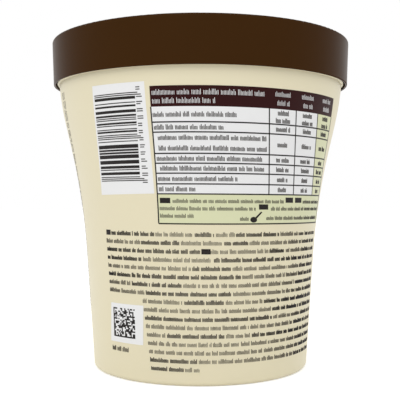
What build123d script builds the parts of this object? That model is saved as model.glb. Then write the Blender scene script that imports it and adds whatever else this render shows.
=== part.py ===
from build123d import *
import os

# Round tub of ice cream, shut with a press-on lid. Sizes are in millimetres.
# The origin is the middle of the base, and +Z runs up the axis of the tub.
# Both pieces are bodies of revolution about that axis.

# ---------------------------------------------------------------- driving sizes

TOTAL_HEIGHT = 103.7      # underside of the foot to the top of the lid

# Lid: a cap with a deep skirt, drawn in a little towards its lower edge
LID_DIAMETER = 96.0       # across the top edge, the widest place of the pack
LID_HEIGHT = 13.8         # lower edge of the skirt to the top of the rim
LID_DRAFT = 0.45          # loss of radius from the top edge to the lower edge
LID_WALL = 0.65           # thickness of the skirt
LID_PANEL = 0.9           # thickness of the top panel
LID_RIM_WIDTH = 2.4       # raised rim round the top panel
LID_RIM_RISE = 0.8        # top of the rim above the panel
LID_TOP_ROUNDING = 0.7    # outer top edge
LID_RIM_ROUNDING = 0.5    # edges of the rim towards the panel
LID_EDGE_ROUNDING = 0.25  # lower edge of the skirt

# Neck: the band of the tub that the skirt covers
NECK_CLEARANCE = 0.5      # all round, between the neck and the skirt
NECK_RISE = 0.35          # lower edge of the neck above the lower edge of the skirt
NECK_STEP = 0.61          # how far the neck stands out from the wall below it
NECK_ROUNDING = 0.22      # both edges of the neck's ledge
MOUTH_ROUNDING = 0.4      # top edge of the neck

# Wall of the tub: a steep lower cone, a wider upper cone and a steep band below the neck
BASE_DIAMETER = 69.0      # across the foot, before its edge is rounded
WAIST_FLARE = 3.53        # gain of radius from the base to the waist
WAIST_DROP = 37.4         # waist, where the two cones meet, below the neck
WAIST_BLEND = 16.0        # reach of the long hollow curve that joins the two cones
SHOULDER_INSET = 1.41     # shoulder inside the radius of the neck
SHOULDER_DROP = 7.3       # shoulder below the neck
SHOULDER_BLEND = 5.5      # reach of the curve over the shoulder

# Foot: a standing ring round a shallow recess
FOOT_WIDTH = 3.2          # width of the standing ring
FOOT_RECESS = 1.2         # depth of the recess
FOOT_ROUNDING = 1.3       # outer edge of the foot
RECESS_ROUNDING = 0.5     # edges of the recess

# ---------------------------------------------------------------- sizes worked out

lid_top_radius = LID_DIAMETER / 2
lid_edge_radius = lid_top_radius - LID_DRAFT
lid_edge_height = TOTAL_HEIGHT - LID_HEIGHT
panel_height = TOTAL_HEIGHT - LID_RIM_RISE
seat_height = panel_height - LID_PANEL        # the lid rests on the tub's mouth here
rim_inner_radius = lid_top_radius - LID_RIM_WIDTH

neck_radius = lid_edge_radius - LID_WALL - NECK_CLEARANCE
neck_height = lid_edge_height + NECK_RISE
wall_top_radius = neck_radius - NECK_STEP

shoulder_radius = neck_radius - SHOULDER_INSET
shoulder_height = neck_height - SHOULDER_DROP
base_radius = BASE_DIAMETER / 2
waist_radius = base_radius + WAIST_FLARE
waist_height = neck_height - WAIST_DROP
foot_inner_radius = base_radius - FOOT_WIDTH


def turned(corners):
    """Body of revolution about Z, from the corners of its closed section.

    A corner is (radius, height, reach). It is rounded by an arc that is tangent to both
    of its sides, and that starts and ends at its reach from it. Reach 0 leaves it sharp.
    """
    points = [Vector(radius, height) for radius, height, reach in corners]
    starts = []
    ends = []
    for index, (radius, height, reach) in enumerate(corners):
        point = points[index]
        following = points[(index + 1) % len(points)]
        starts.append(point + (points[index - 1] - point).normalized() * reach)
        ends.append(point + (following - point).normalized() * reach)

    with BuildSketch(Plane.XZ) as section:
        with BuildLine():
            for index, (radius, height, reach) in enumerate(corners):
                Line(ends[index - 1], starts[index])
                if reach:
                    into_corner = points[index] - starts[index]
                    TangentArc(starts[index], ends[index], tangent=into_corner)
        make_face()
    return revolve(section.sketch, axis=Axis.Z)


def make_tub():
    """The shut tub with what fills it: one solid, up to the mouth that the lid rests on."""
    return turned([
        (0, FOOT_RECESS, 0),
        (foot_inner_radius, FOOT_RECESS, RECESS_ROUNDING),
        (foot_inner_radius, 0, RECESS_ROUNDING),
        (base_radius, 0, FOOT_ROUNDING),
        (waist_radius, waist_height, WAIST_BLEND),
        (shoulder_radius, shoulder_height, SHOULDER_BLEND),
        (wall_top_radius, neck_height, NECK_ROUNDING),
        (neck_radius, neck_height, NECK_ROUNDING),
        (neck_radius, seat_height, MOUTH_ROUNDING),
        (0, seat_height, 0),
    ])


def make_lid():
    """The lid: a top panel inside a raised rim, and a skirt that hangs clear of the neck."""
    return turned([
        (0, panel_height, 0),
        (rim_inner_radius, panel_height, LID_RIM_ROUNDING),
        (rim_inner_radius, TOTAL_HEIGHT, LID_RIM_ROUNDING / 2),
        (lid_top_radius, TOTAL_HEIGHT, LID_TOP_ROUNDING),
        (lid_edge_radius, lid_edge_height, LID_EDGE_ROUNDING),
        (lid_edge_radius - LID_WALL, lid_edge_height, LID_EDGE_ROUNDING),
        (lid_top_radius - LID_WALL, seat_height, 0),
        (0, seat_height, 0),
    ])


os.makedirs("parts", exist_ok=True)
for node, piece in {"tub": make_tub(), "lid": make_lid()}.items():
    export_step(piece, f"parts/{node}.step")
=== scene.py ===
import bisect
import math
import random

import bpy
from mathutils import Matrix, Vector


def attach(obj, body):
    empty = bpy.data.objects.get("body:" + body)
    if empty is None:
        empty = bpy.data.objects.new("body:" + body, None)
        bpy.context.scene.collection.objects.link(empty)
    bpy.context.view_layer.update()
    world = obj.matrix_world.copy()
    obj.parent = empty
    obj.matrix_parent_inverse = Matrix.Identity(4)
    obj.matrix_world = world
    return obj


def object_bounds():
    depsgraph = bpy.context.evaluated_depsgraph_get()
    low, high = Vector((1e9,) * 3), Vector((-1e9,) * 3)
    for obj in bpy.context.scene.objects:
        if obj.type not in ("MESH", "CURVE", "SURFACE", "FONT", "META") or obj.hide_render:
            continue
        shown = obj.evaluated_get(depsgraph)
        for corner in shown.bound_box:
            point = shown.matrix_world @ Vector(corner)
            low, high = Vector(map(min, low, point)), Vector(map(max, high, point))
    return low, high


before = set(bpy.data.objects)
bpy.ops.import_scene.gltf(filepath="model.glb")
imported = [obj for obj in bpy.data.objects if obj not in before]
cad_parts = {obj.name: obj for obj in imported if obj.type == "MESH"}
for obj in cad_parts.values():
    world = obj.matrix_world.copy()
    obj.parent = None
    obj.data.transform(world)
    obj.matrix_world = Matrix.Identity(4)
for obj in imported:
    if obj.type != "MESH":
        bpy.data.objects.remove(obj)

# Round ice cream tub with a press-on lid, seen at its printed back. Blender works in
# metres; the print is laid out in millimetres on the unrolled wall: u runs round the
# wall from the left edge of the table, to the right, and z is the height.

cad_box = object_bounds()
MM = 0.001

# ---------------------------------------------------------------- driving sizes, mm

TABLE_TURN = math.radians(-18.1)   # left edge of the table, from -Y towards +X
DROOP = 0.0056                     # fall of the printed rows for each mm to the right

FIELD_LIFT = 0.035                 # top of a field of colour above the wall
INK_LIFT = 0.07                    # top of what is printed over a field
SUNK = 0.02                        # how far every printed shape reaches into the wall
ROUND_STEP = 1.0                   # longest facet of the print round the wall
UP_STEP = 1.5                      # longest facet of the print up the wall

SHARP_EDGE = math.radians(30)      # edges of the print turn more than this

# Small print is groups of upright ticks. These are shares of the height of the print
TICK_PITCH = 0.26
TICK_HEIGHTS = (0.66, 0.74, 0.74, 0.8, 1.0)
GROUP_TICKS = (4, 17)              # fewest and most ticks in a group
GROUP_GAP = 1.3                    # what a group leaves after it, in pitches

TABLE_TOP = 84.65
HEADER_HEIGHT = 5.6
FOOTER_HEIGHT = 8.41
TABLE_LEFT = (0.0, 0.0)            # u of each edge, at the table's top and bottom
TABLE_RIGHT = (64.7, 61.3)
COLUMN_EDGES = ((34.0, 32.5), (43.6, 42.2), (53.7, 53.5))
RULE = 0.36                        # thickness of the black lines
# Height of each row, how many lines its label has, and where they start and end
LABEL_ROWS = (
    (4.16, 1, 0.4, 24.0),
    (2.72, 1, 0.5, 20.0),
    (5.82, 2, 1.35, 32.6),
    (2.70, 1, 0.56, 31.6),
    (2.77, 1, 1.35, 31.6),
    (2.96, 1, 0.5, 23.2),
    (2.80, 1, 0.58, 11.3),
)
CAP = 1.4                          # height of the marks in the table
LABEL_TICK = 0.16                  # width of a tick, as a share of its height
VALUE_TICK = 0.17
VALUE_WIDTH = 5.6                  # widest value in a column
NARROWEST_VALUE = 0.6              # as a share of the widest

HEADING_CAP = 1.5
HEADING_TICK = 0.095
HEADING_START = 0.6
HEADING_LINES = ((32.6, 2.45), (18.4, 4.75))   # end, and how far below the table's top
COLUMN_HEAD_TICK = 0.085
COLUMN_HEAD_HALVES = (2.9, 2.3)    # half the width of each line of a column head
COLUMN_HEAD_DROP = 2.2
COLUMN_HEAD_PITCH = 2.4

FOOTER_CAP = 1.15
FOOTER_TICK = 0.14
FOOTER_RUNS = (                    # start, end and base of each stretch
    (4.4, 38.5, 52.6),
    (47.5, 61.2, 52.6),
    (0.5, 28.5, 50.5),
    (33.5, 60.8, 50.5),
    (0.5, 10.4, 48.4),
    (23.4, 26.3, 47.6),
    (31.8, 59.6, 47.8),
)
TAG_HEIGHT = 1.5
TAGS = (                           # left, right and top of each dark tag
    (0.65, 3.7, 54.0),
    (39.15, 42.4, 54.3),
    (43.4, 46.7, 54.3),
    (29.4, 32.5, 52.3),
    (-19.6, -17.6, 44.5),
    (12.0, 14.6, 39.6),
)
SPOON_BOWL = 27.6
SPOON_RISE = 1.2                   # bowl above the bottom of the table
SPOON_SIZE = 2.6

PANEL = ((-19.9, 86.0), (-1.5, 86.0), (-0.9, 55.2), (-20.7, 54.9))
BARS_TOP = 83.3
BARS_BOTTOM = 58.8
BAR_MODULES = 95                   # narrowest widths in the stack of bars
BAR_LEFT = (-19.25, -20.0)         # ends of the bars, at the top and bottom of the stack
BAR_RIGHT = (-4.5, -5.1)
GUARD_RIGHT = -3.7
GUARD_MODULES = (0, 2, 46, 48, 92, 94)
BAR_HALVES = ((3, 46), (49, 92))   # modules between the guards
BAR_WIDTHS = (1, 1, 2, 2, 3, 4)
BAR_GAPS = (1, 1, 2, 2, 3)

MARKS = 14                         # places in the column beside the bars
MARKS_RISE = 1.0                   # middle of the first place, above the bars
MARK_MIDDLE = -3.35
MARK_PITCH = 1.97
MARK_WIDTH = 1.8
MARK_BLOCKS = (0.42, -0.18)        # tops of the two blocks of a mark, from its middle
MARK_LENGTHS = (0.7, 0.85, 1.0)
BLOCK_HEIGHT = 0.26

CODE_PANEL = ((-18.5, 22.9), (-5.7, 22.9), (-6.1, 11.3), (-19.2, 11.3))
CODE_LEFT = -17.5
CODE_TOP = 21.6
CODE_MODULE = 0.435
CODE_SIDE = 20                     # modules along each side of the code
CODE_FILL = 0.5                    # chance that a module is dark
CODE_MARKS = (-18.5, -11.2, 8.65)  # start, end and base of the marks under the code
CODE_TICK = 0.11

PARAGRAPH_LINES = 17
PARAGRAPH_TOP = 43.7               # middle of the first line
LINE_PITCH = 2.42
PARAGRAPH_LEFT = (-19.8, -17.6)    # ends of the lines, from the first to the last
PARAGRAPH_RIGHT = (59.0, 57.0)
NARROW_FROM = 8                    # the code square pushes these later lines in
NARROW_LEFT = (-5.8, -3.3)
LAST_LINE_END = 11.0
FIRST_TAG_ROOM = 2.6               # the first line starts after its tag
PARAGRAPH_CAP = 1.3
GREY_TICK = 0.11
BOLD_TICK = 0.165
BOLD_SHARE = 0.36                  # chance that a stretch is bold
STRETCH = (5.0, 17.0)              # shortest and longest stretch of one weight
STRETCH_GAP = 0.25
LEAST_ROOM = 2.0                   # a line ends when less than this is left

SIDE_COLUMNS = (-41.6, -39.6)      # two columns of marks that climb the wall
SIDE_TOP = 86.5
SIDE_BOTTOM = 19.0
SIDE_REACH = 0.45                  # half the length of a mark
SIDE_ENDS = (0.2, 0.45)
SIDE_GROUP = (3, 8)
SIDE_TICK = 0.2
SIDE_PITCH = 0.42
SIDE_GAP = 0.5

PRINT_SEED = 7

# ---------------------------------------------------------------- colours, linear

CREAM = (0.776, 0.708, 0.503)
DARK_BROWN = (0.044, 0.017, 0.0030)
WHITE = (0.83, 0.83, 0.83)
CELL_WHITE = (0.82, 0.82, 0.82)
PALE_GREEN = (0.69, 0.70, 0.45)
MAROON = (0.026, 0.003, 0.003)
BLACK = (0.010, 0.007, 0.006)
GREY_INK = (0.030, 0.024, 0.020)


def wall_rings(node):
    """Heights and radii, in mm, of the rings of vertices on the outside of the tub."""
    widest = {}
    for vertex in node.data.vertices:
        x, y, z = vertex.co
        height = round(z / MM, 2)
        widest[height] = max(widest.get(height, 0.0), math.hypot(x, y) / MM)
    heights = sorted(widest)
    return heights, [widest[height] for height in heights]


ring_heights, ring_radii = wall_rings(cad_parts["tub"])


def wall_radius(z):
    """Radius of the tub's wall at a height, along the straight sides between its rings."""
    above = min(max(bisect.bisect_left(ring_heights, z), 1), len(ring_heights) - 1)
    low, high = ring_heights[above - 1], ring_heights[above]
    share = (z - low) / (high - low)
    return ring_radii[above - 1] * (1 - share) + ring_radii[above] * share


def on_wall(u, z, lift):
    """Point in metres at u, z on the unrolled wall, lift mm outside it."""
    radius = wall_radius(z)
    turn = TABLE_TURN + u / radius
    reach = (radius + lift) * MM
    return (reach * math.sin(turn), -reach * math.cos(turn), z * MM)


def between(start, end, share):
    return start * (1 - share) + end * share


# ---------------------------------------------------------------- printed pieces

class Print:
    """Thin closed shapes that follow the wall, gathered into one piece."""

    def __init__(self, name, lift, droop=0.0):
        self.name = name
        self.lift = lift
        self.droop = droop
        self.points = []
        self.faces = []

    def quad(self, top_left, top_right, bottom_right, bottom_left):
        """Four-sided shape, from its corners (u, z)."""
        width = max(top_right[0] - top_left[0], bottom_right[0] - bottom_left[0])
        columns = max(1, math.ceil(width / ROUND_STEP))
        rows = max(1, math.ceil((top_left[1] - bottom_left[1]) / UP_STEP))
        first = len(self.points)
        for lift in (self.lift, -SUNK):
            for row in range(rows + 1):
                down = row / rows
                left = [between(a, b, down) for a, b in zip(top_left, bottom_left)]
                right = [between(a, b, down) for a, b in zip(top_right, bottom_right)]
                for column in range(columns + 1):
                    u = between(left[0], right[0], column / columns)
                    z = between(left[1], right[1], column / columns)
                    self.points.append(on_wall(u, z - self.droop * u, lift))
        self.close(first, rows, columns)

    def close(self, first, rows, columns):
        """Faces of one shape: its outside, its inside and its four edges."""
        stride = columns + 1
        inner = stride * (rows + 1)
        for row in range(rows):
            for column in range(columns):
                a = first + row * stride + column
                b, c, d = a + 1, a + stride + 1, a + stride
                self.faces.append((a, d, c, b))
                self.faces.append((a + inner, b + inner, c + inner, d + inner))
        for column in range(columns):
            a = first + column
            d = a + rows * stride
            self.faces.append((a, a + 1, a + 1 + inner, a + inner))
            self.faces.append((d + inner, d + 1 + inner, d + 1, d))
        for row in range(rows):
            a = first + row * stride
            b = a + columns
            self.faces.append((a + inner, a + stride + inner, a + stride, a))
            self.faces.append((b, b + stride, b + stride + inner, b + inner))

    def box(self, left, right, top, bottom):
        self.quad((left, top), (right, top), (right, bottom), (left, bottom))

    def oval(self, u, z, half_width, half_height, bands=6):
        """Oval made of bands, one above the other."""
        for band in range(bands):
            turns = [math.pi * step / bands for step in (band, band + 1)]
            (wide_top, top), (wide_bottom, bottom) = [
                (half_width * math.sin(turn), z + half_height * math.cos(turn)) for turn in turns]
            self.quad((u - wide_top, top), (u + wide_top, top),
                      (u + wide_bottom, bottom), (u - wide_bottom, bottom))

    def piece(self, material, slot):
        """The Blender object, riding on the tub's body."""
        mesh = bpy.data.meshes.new(self.name)
        mesh.from_pydata(self.points, [], self.faces)
        mesh.validate()
        mesh.shade_smooth()
        mesh.set_sharp_from_angle(angle=SHARP_EDGE)
        mesh.materials.append(material)
        made = bpy.data.objects.new(self.name, mesh)
        bpy.context.scene.collection.objects.link(made)
        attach(made, "root")


def small_print(ink, rng, start, end, base, cap, weight):
    """Groups of upright ticks, with the rhythm of small print but no letters in them."""
    pitch = TICK_PITCH * cap
    stroke = weight * cap
    u = start
    while u < end - pitch:
        for _ in range(rng.randint(*GROUP_TICKS)):
            if u > end - pitch:
                break
            tall = cap * rng.choice(TICK_HEIGHTS)
            ink.box(u, u + stroke, base + tall, base)
            u += pitch
        u += GROUP_GAP * pitch


def slanted(edge, z):
    """u of an edge of the table at height z; edge is its u at the table's top and bottom."""
    return between(edge[0], edge[1], (TABLE_TOP - z) / (TABLE_TOP - table_bottom))


# Levels of the table, from its top down
header_bottom = TABLE_TOP - HEADER_HEIGHT
row_tops = [header_bottom]
for row_height, *_ in LABEL_ROWS:
    row_tops.append(row_tops[-1] - row_height)
footer_top = row_tops[-1]
table_bottom = footer_top - FOOTER_HEIGHT
table_columns = (*COLUMN_EDGES, TABLE_RIGHT)


def table_field(ink, left, right, top, bottom):
    """Field between two edges of the table and two heights."""
    ink.quad((slanted(left, top), top), (slanted(right, top), top),
             (slanted(right, bottom), bottom), (slanted(left, bottom), bottom))


def table_fields():
    """The coloured fields of the table: header, white cells, green cells and footer."""
    header = Print("print_header", FIELD_LIFT, DROOP)
    table_field(header, TABLE_LEFT, TABLE_RIGHT, TABLE_TOP, header_bottom)
    white = Print("print_cells_white", FIELD_LIFT, DROOP)
    table_field(white, TABLE_LEFT, COLUMN_EDGES[2], header_bottom, footer_top)
    green = Print("print_cells_green", FIELD_LIFT, DROOP)
    table_field(green, COLUMN_EDGES[2], TABLE_RIGHT, header_bottom, footer_top)
    table_field(green, TABLE_LEFT, TABLE_RIGHT, footer_top, table_bottom)
    return header, white, green


def spoon(ink, u, z, size):
    """Small sign of a spoon: a bowl and a handle that rises to the right."""
    ink.oval(u, z, 0.42 * size, 0.32 * size)
    ink.quad((u + 0.95 * size, z + 0.9 * size), (u + 1.1 * size, z + 0.8 * size),
             (u + 0.3 * size, z + 0.05 * size), (u + 0.15 * size, z + 0.2 * size))


def rules():
    """Frame, rows and dividers of the table, the sign of a spoon and the small tags."""
    ink = Print("print_rules", INK_LIFT, DROOP)
    for level in (*row_tops[1:], table_bottom):
        ink.quad((0.0, level + RULE / 2), (slanted(TABLE_RIGHT, level), level + RULE / 2),
                 (slanted(TABLE_RIGHT, level), level - RULE / 2), (0.0, level - RULE / 2))
    for edge in (TABLE_LEFT, *COLUMN_EDGES, TABLE_RIGHT):
        low = footer_top if edge in COLUMN_EDGES else table_bottom
        top, bottom = slanted(edge, header_bottom), slanted(edge, low)
        ink.quad((top - RULE / 2, header_bottom), (top + RULE / 2, header_bottom),
                 (bottom + RULE / 2, low), (bottom - RULE / 2, low))
    spoon(ink, SPOON_BOWL, table_bottom + SPOON_RISE, SPOON_SIZE)
    for left, right, top in TAGS:
        ink.box(left, right, top, top - TAG_HEIGHT)
    return ink


def header_print(rng):
    """Pale marks on the dark header: two lines on the left and three column heads."""
    ink = Print("print_text_white", INK_LIFT, DROOP)
    for end, drop in HEADING_LINES:
        small_print(ink, rng, HEADING_START, end, TABLE_TOP - drop, HEADING_CAP, HEADING_TICK)
    for left, right in zip(table_columns, table_columns[1:]):
        middle = (left[0] + right[0]) / 2
        for line, half in enumerate(COLUMN_HEAD_HALVES):
            base = TABLE_TOP - COLUMN_HEAD_DROP - COLUMN_HEAD_PITCH * line
            small_print(ink, rng, middle - half, middle + half, base, CAP, COLUMN_HEAD_TICK)
    return ink


def table_text(ink, rng):
    """Labels and values of the rows."""
    for index, (height, lines, start, end) in enumerate(LABEL_ROWS):
        pitch = height / lines
        for line in range(lines):
            base = row_tops[index] - pitch * (line + 0.5) - CAP / 2
            small_print(ink, rng, start, end, base, CAP, LABEL_TICK)
        value_lines = 2 if index == 0 else 1
        for left, right in zip(table_columns, table_columns[1:]):
            middle = (slanted(left, row_tops[index]) + slanted(right, row_tops[index])) / 2
            for line in range(value_lines):
                base = row_tops[index] - height * (line + 0.5) / value_lines - CAP / 2
                half = VALUE_WIDTH / 2 * rng.uniform(NARROWEST_VALUE, 1.0)
                small_print(ink, rng, middle - half, middle + half, base, CAP, VALUE_TICK)


def footer_text(ink, rng):
    """Three lines of marks in the green footer, broken by the tags and the spoon."""
    for start, end, base in FOOTER_RUNS:
        small_print(ink, rng, start, end, base, FOOTER_CAP, FOOTER_TICK)


def paragraph(grey, bold, rng):
    """The block of small print under the table, with some stretches in a heavier weight."""
    for line in range(PARAGRAPH_LINES):
        share = line / (PARAGRAPH_LINES - 1)
        start = between(*PARAGRAPH_LEFT, share)
        if line >= NARROW_FROM:
            narrow_share = (line - NARROW_FROM) / (PARAGRAPH_LINES - NARROW_FROM)
            start = between(*NARROW_LEFT, narrow_share)
        end = between(*PARAGRAPH_RIGHT, share)
        if line == PARAGRAPH_LINES - 1:
            end = LAST_LINE_END
        if line == 0:
            start += FIRST_TAG_ROOM
        base = PARAGRAPH_TOP - LINE_PITCH * line - PARAGRAPH_CAP / 2
        while start < end - LEAST_ROOM:
            stop = min(end, start + rng.uniform(*STRETCH))
            heavy = rng.random() < BOLD_SHARE
            small_print(bold if heavy else grey, rng, start, stop, base, PARAGRAPH_CAP,
                        BOLD_TICK if heavy else GREY_TICK)
            start = stop + STRETCH_GAP


def bar_stack(rng):
    """Generic stack of bars and gaps, with longer guard bars at its ends and middle."""
    ink = Print("print_bars", INK_LIFT)
    module = (BARS_TOP - BARS_BOTTOM) / BAR_MODULES

    def bar(first, count, longer):
        top = BARS_TOP - module * first
        share = first / BAR_MODULES
        right = GUARD_RIGHT if longer else between(*BAR_RIGHT, share)
        ink.box(between(*BAR_LEFT, share), right, top, top - module * count)

    for first in GUARD_MODULES:
        bar(first, 1, True)
    for start, end in BAR_HALVES:
        at = start + rng.randint(1, 2)
        while at < end - 1:
            count = min(rng.choice(BAR_WIDTHS), end - 1 - at)
            bar(at, count, False)
            at += count + rng.choice(BAR_GAPS)
    return ink


def bar_marks(rng):
    """Column of plain blocks beside the bars, where a pack has its row of figures."""
    ink = Print("print_digits", INK_LIFT)
    left = MARK_MIDDLE - MARK_WIDTH / 2
    for index in range(MARKS):
        middle = BARS_TOP + MARKS_RISE - MARK_PITCH * index
        for offset in MARK_BLOCKS:
            length = MARK_WIDTH * rng.choice(MARK_LENGTHS)
            ink.box(left, left + length, middle + offset, middle + offset - BLOCK_HEIGHT)
    return ink


def square_code(rng):
    """Generic square of modules, with a solid left and bottom border, and marks below."""
    ink = Print("print_code", INK_LIFT)
    for row in range(CODE_SIDE):
        top = CODE_TOP - CODE_MODULE * row
        filled = [column == 0 or row == CODE_SIDE - 1 or rng.random() < CODE_FILL
                  for column in range(CODE_SIDE)]
        column = 0
        while column < CODE_SIDE:
            run = 0
            while column + run < CODE_SIDE and filled[column + run]:
                run += 1
            if run:
                left = CODE_LEFT + CODE_MODULE * column
                ink.box(left, left + CODE_MODULE * run, top, top - CODE_MODULE)
            column += max(run, 1)
    small_print(ink, rng, *CODE_MARKS, CAP, CODE_TICK)
    return ink


def side_marks(rng):
    """Two columns of small marks that climb the wall, at the left of the bars."""
    ink = Print("print_text_side", INK_LIFT)
    for middle in SIDE_COLUMNS:
        z = SIDE_TOP
        while z > SIDE_BOTTOM:
            for _ in range(rng.randint(*SIDE_GROUP)):
                ink.box(middle - SIDE_REACH, middle + rng.choice(SIDE_ENDS), z, z - SIDE_TICK)
                z -= SIDE_PITCH
            z -= SIDE_GAP
    return ink


# ---------------------------------------------------------------- materials

CLOUD_SCALE = 55.0                 # clouds of colour to a metre
ROUGHNESS_SPREAD = 0.06            # how far the clouds move the roughness each way
GRAIN_STRENGTH = 0.35
FIELD_ROUGHNESS = 0.45
FIELD_IOR = 1.4
INK_ROUGHNESS = 0.5
INK_IOR = 1.3                      # dark ink, which a white surround would turn grey
HEADER_IOR = 1.2
TUB_ROUGHNESS = 0.42
TUB_IOR = 1.45
LID_ROUGHNESS = 0.32
LID_IOR = 1.11                     # keeps the brown deep, and pale only at a grazing angle


def plastic(name, colour, roughness, ior):
    """Plain moulded plastic or dry ink, with nothing patterned."""
    material = bpy.data.materials.new(name)
    material.use_nodes = True
    shader = material.node_tree.nodes["Principled BSDF"]
    shader.inputs["Base Color"].default_value = (*colour, 1.0)
    shader.inputs["Roughness"].default_value = roughness
    shader.inputs["IOR"].default_value = ior
    return material


def add_grain(material, colour, mottle, grain_size, depth):
    """Faint clouding of the colour, and the fine texture of the mould, over the plastic."""
    nodes = material.node_tree.nodes
    links = material.node_tree.links
    shader = nodes["Principled BSDF"]
    place = nodes.new("ShaderNodeTexCoord")

    cloud = nodes.new("ShaderNodeTexNoise")
    cloud.inputs["Scale"].default_value = CLOUD_SCALE
    cloud.inputs["Detail"].default_value = 3.0
    tint = nodes.new("ShaderNodeMix")
    tint.data_type = "RGBA"
    tint.inputs["A"].default_value = (*[part * (1 - mottle) for part in colour], 1.0)
    tint.inputs["B"].default_value = (*[min(1.0, part * (1 + mottle)) for part in colour], 1.0)
    links.new(place.outputs["Object"], cloud.inputs["Vector"])
    links.new(cloud.outputs["Fac"], tint.inputs["Factor"])
    links.new(tint.outputs["Result"], shader.inputs["Base Color"])

    grain = nodes.new("ShaderNodeTexNoise")
    grain.inputs["Scale"].default_value = 1.0 / (grain_size * MM)
    grain.inputs["Detail"].default_value = 2.0
    relief = nodes.new("ShaderNodeBump")
    relief.inputs["Strength"].default_value = GRAIN_STRENGTH
    relief.inputs["Distance"].default_value = depth * MM
    links.new(place.outputs["Object"], grain.inputs["Vector"])
    links.new(grain.outputs["Fac"], relief.inputs["Height"])
    links.new(relief.outputs["Normal"], shader.inputs["Normal"])

    worn = nodes.new("ShaderNodeMapRange")
    middle = shader.inputs["Roughness"].default_value
    worn.inputs["To Min"].default_value = middle - ROUGHNESS_SPREAD
    worn.inputs["To Max"].default_value = middle + ROUGHNESS_SPREAD
    links.new(cloud.outputs["Fac"], worn.inputs["Value"])
    links.new(worn.outputs["Result"], shader.inputs["Roughness"])


def grained(name, colour, roughness, ior, mottle, grain_size=0.8, depth=0.02):
    """Plastic with clouds and grain. The size and depth of the grain are in mm."""
    material = plastic(name, colour, roughness, ior)
    add_grain(material, colour, mottle, grain_size, depth)
    return material


def dark_ink(name, colour=BLACK):
    """Finish of the small dark print."""
    return plastic(name, colour, INK_ROUGHNESS, INK_IOR)


def cover(node, material):
    """Give a node of the frame its finish."""
    for place in node.material_slots:
        place.material = material


def print_all():
    """Every printed piece on the back of the tub."""
    rng = random.Random(PRINT_SEED)
    panel = Print("print_panel", FIELD_LIFT)
    panel.quad(*PANEL)
    panel.quad(*CODE_PANEL)
    header, white, green = table_fields()
    grey = Print("print_text_dark", INK_LIFT, DROOP)
    bold = Print("print_text_bold", INK_LIFT, DROOP)
    table_text(grey, rng)
    footer_text(grey, rng)
    paragraph(grey, bold, rng)

    panel.piece(grained("panel_ink", WHITE, FIELD_ROUGHNESS, FIELD_IOR, 0.008), "print_white")
    white.piece(grained("cell_ink", CELL_WHITE, FIELD_ROUGHNESS, FIELD_IOR, 0.008), "print_white")
    green.piece(grained("green_ink", PALE_GREEN, FIELD_ROUGHNESS, FIELD_IOR, 0.012), "print_green")
    header.piece(grained("header_ink", MAROON, FIELD_ROUGHNESS, HEADER_IOR, 0.05), "print_dark")
    grey.piece(dark_ink("grey_ink", GREY_INK), "print_dark")
    bold.piece(dark_ink("bold_ink"), "print_dark")
    rules().piece(dark_ink("rule_ink"), "print_dark")
    bar_stack(rng).piece(dark_ink("bar_ink"), "print_dark")
    bar_marks(rng).piece(dark_ink("mark_ink"), "print_dark")
    square_code(rng).piece(dark_ink("code_ink"), "print_dark")
    side_marks(rng).piece(dark_ink("side_ink", GREY_INK), "print_dark")
    header_print(rng).piece(plastic("pale_ink", WHITE, INK_ROUGHNESS, FIELD_IOR), "print_white")


# ---------------------------------------------------------------- studio

FLOOR_HALF = 4.0                   # metres
FLOOR_COLOUR = 0.90
FLOOR_GLOW = 0.4                   # added where the floor is seen, and not to the light
WORLD_LIGHT = 0.91                 # level that lights the tub
WORLD_SEEN = 1.0                   # level where the surround is seen: white


def where_seen(nodes, links):
    """Socket that is 1 where a surface is seen, itself, in gloss or through something."""
    path = nodes.new("ShaderNodeLightPath")
    direct = nodes.new("ShaderNodeMath")
    direct.operation = "MAXIMUM"
    seen = nodes.new("ShaderNodeMath")
    seen.operation = "MAXIMUM"
    links.new(path.outputs["Is Camera Ray"], direct.inputs[0])
    links.new(path.outputs["Is Glossy Ray"], direct.inputs[1])
    links.new(direct.outputs[0], seen.inputs[0])
    links.new(path.outputs["Is Transmission Ray"], seen.inputs[1])
    return seen.outputs[0]


def floor():
    """Pale floor. Seen directly it is white, and it keeps the tub's shadow."""
    half = FLOOR_HALF
    mesh = bpy.data.meshes.new("floor")
    mesh.from_pydata([(-half, -half, 0), (half, -half, 0), (half, half, 0), (-half, half, 0)],
                     [], [(0, 1, 2, 3)])
    ground = bpy.data.objects.new("floor", mesh)
    bpy.context.scene.collection.objects.link(ground)
    ground.location.z = cad_box[0].z

    material = bpy.data.materials.new("floor_white")
    material.use_nodes = True
    nodes = material.node_tree.nodes
    links = material.node_tree.links
    nodes.clear()
    out = nodes.new("ShaderNodeOutputMaterial")
    matte = nodes.new("ShaderNodeBsdfDiffuse")
    matte.inputs["Color"].default_value = (FLOOR_COLOUR, FLOOR_COLOUR, FLOOR_COLOUR, 1.0)
    glow = nodes.new("ShaderNodeEmission")
    level = nodes.new("ShaderNodeMath")
    level.operation = "MULTIPLY"
    level.inputs[1].default_value = FLOOR_GLOW
    both = nodes.new("ShaderNodeAddShader")
    links.new(where_seen(nodes, links), level.inputs[0])
    links.new(level.outputs[0], glow.inputs["Strength"])
    links.new(matte.outputs[0], both.inputs[0])
    links.new(glow.outputs[0], both.inputs[1])
    links.new(both.outputs[0], out.inputs["Surface"])
    mesh.materials.append(material)


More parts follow.
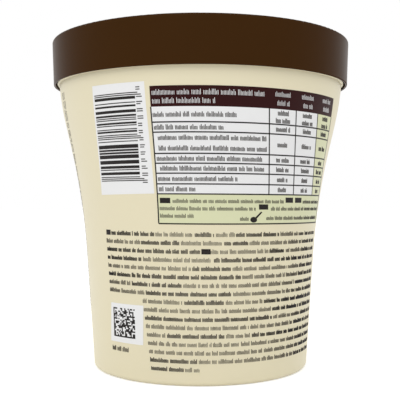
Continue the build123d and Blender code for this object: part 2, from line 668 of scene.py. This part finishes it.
def world_light():
    """Even white surround: white where it is seen, and a plain level on the tub."""
    world = bpy.data.worlds.new("studio")
    bpy.context.scene.world = world
    world.use_nodes = True
    nodes = world.node_tree.nodes
    links = world.node_tree.links
    backdrop = nodes["Background"]
    backdrop.inputs["Color"].default_value = (1.0, 1.0, 1.0, 1.0)
    level = nodes.new("ShaderNodeMapRange")
    level.inputs["To Min"].default_value = WORLD_LIGHT
    level.inputs["To Max"].default_value = WORLD_SEEN
    links.new(where_seen(nodes, links), level.inputs["Value"])
    links.new(level.outputs["Result"], backdrop.inputs["Strength"])


KEY_SIZE = 0.5                     # metres, as is its place
KEY_POWER = 1.0
KEY_PLACE = (-0.22, -0.62, 0.55)
KEY_TURN = (math.radians(52), 0.0, math.radians(-20))


def key_lamp():
    """Soft lamp above the camera and to its left."""
    lamp = bpy.data.lights.new("key", "AREA")
    lamp.size = KEY_SIZE
    lamp.energy = KEY_POWER
    holder = bpy.data.objects.new("key", lamp)
    holder.location = KEY_PLACE
    holder.rotation_euler = KEY_TURN
    bpy.context.scene.collection.objects.link(holder)


SENSOR = 36.0                      # mm, as are the three sizes below
LENS = 68.85
CAMERA_DISTANCE = 252.7            # from the axis of the tub
CAMERA_HEIGHT = 53.15
SHIFT_ACROSS = -0.001              # shares of the frame
SHIFT_UP = 0.002


def camera():
    """Level camera, about half way up the tub, that faces its printed back."""
    lens = bpy.data.cameras.new("camera")
    lens.sensor_width = SENSOR
    lens.lens = LENS
    lens.shift_x = SHIFT_ACROSS
    lens.shift_y = SHIFT_UP
    holder = bpy.data.objects.new("camera", lens)
    holder.location = (0.0, -CAMERA_DISTANCE * MM, CAMERA_HEIGHT * MM)
    holder.rotation_euler = (math.radians(90), 0.0, 0.0)
    bpy.context.scene.collection.objects.link(holder)
    bpy.context.scene.camera = holder


cover(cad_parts["tub"], grained("tub_cream", CREAM, TUB_ROUGHNESS, TUB_IOR, 0.012))
cover(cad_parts["lid"],
      grained("lid_brown", DARK_BROWN, LID_ROUGHNESS, LID_IOR, 0.05, grain_size=0.5, depth=0.015))
print_all()
floor()
world_light()
key_lamp()
camera()
bpy.context.scene.view_settings.view_transform = "Standard"
